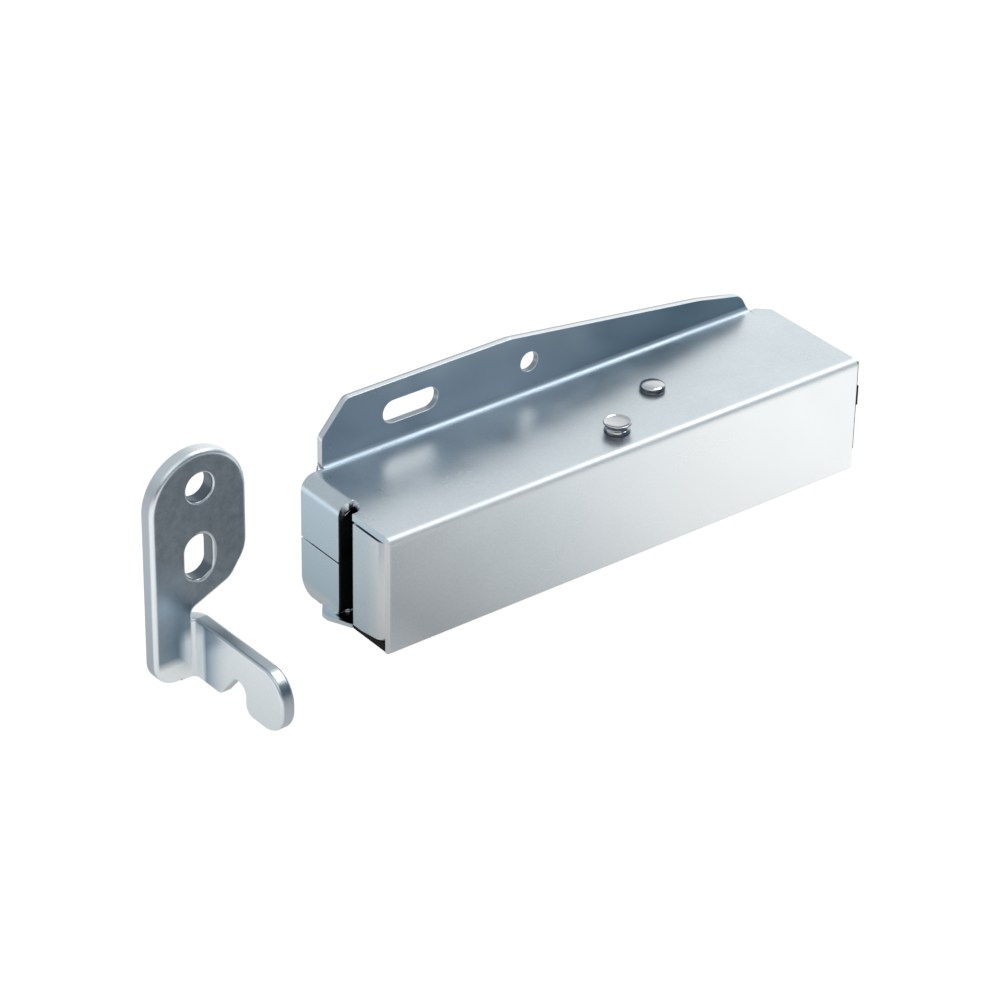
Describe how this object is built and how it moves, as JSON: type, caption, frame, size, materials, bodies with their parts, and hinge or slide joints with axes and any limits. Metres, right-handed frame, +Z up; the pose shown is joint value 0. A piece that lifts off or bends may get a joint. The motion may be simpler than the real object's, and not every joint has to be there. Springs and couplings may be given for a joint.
{
  "type": "touch latch",
  "caption": "Push-to-open cabinet touch latch: flanged sheet-steel case with a sprung catch inside, and its separate hooked strike plate.",
  "frame": {"origin": "centre of the flange's round hole, in the mounting plane at the flange's back", "axes": "+X along the case away from its slot end, +Y into the mounting surface, +Z up from the case toward the flange's top"},
  "size_m": [0.1242, 0.0326, 0.037],
  "materials": {
    "case_zinc": "bright zinc plate, satin",
    "inner_zinc": "bright zinc plate, satin",
    "rivet_bright": "bright",
    "hard_steel": "ground",
    "black_nylon": "moulded, matt",
    "pad_rubber": "matt",
    "claw_zinc": "zinc plate",
    "spring_steel": "drawn wire",
    "strike_zinc": "bright zinc plate, tumbled"
  },
  "bodies": {
    "case": {"housing": "case_zinc", "inner_plate": "inner_zinc", "front_rivet": "rivet_bright", "rear_rivet": "rivet_bright", "cam_roller": "hard_steel", "pawl_sleeve": "hard_steel", "pawl_washer": "hard_steel", "pawl_spring": "spring_steel", "main_spring": "spring_steel", "spring_rod": "hard_steel", "end_block": "black_nylon", "arm_guide": "black_nylon", "strike": "strike_zinc"},
    "slider": {"slider": "black_nylon", "slider_pad": "pad_rubber", "claw_pin": "hard_steel", "claw_ring": "spring_steel", "claw_spring": "spring_steel"},
    "claw": {"claw": "claw_zinc"},
    "pawl": {"index_pawl": "claw_zinc", "follower_pin": "hard_steel"}
  },
  "joints": [
    {"name": "slider_travel", "type": "slide", "parent": "case", "child": "slider", "axis": [1, 0, 0], "range_m": [0, 0.0075], "stiffness_N_per_m": 3700, "springref_m": -0.007, "deforming": ["main_spring"]},
    {"name": "claw_swing", "type": "hinge", "parent": "slider", "child": "claw", "pos_m": [-0.0153, -0.0174, -0.0182], "axis": [0, 0, -1], "range_deg": [0, 11]},
    {"name": "pawl_swing", "type": "hinge", "parent": "case", "child": "pawl", "pos_m": [0.0156, -0.0119, -0.0087], "axis": [0, 0, -1], "range_deg": [0, 12.1]}
  ],
  "couplings": [
    {"joint": "claw_swing", "follows": "slider_travel", "rad_per_m": 25.366},
    {"joint": "pawl_swing", "follows": "slider_travel", "rad_per_m": 27.925}
  ]
}
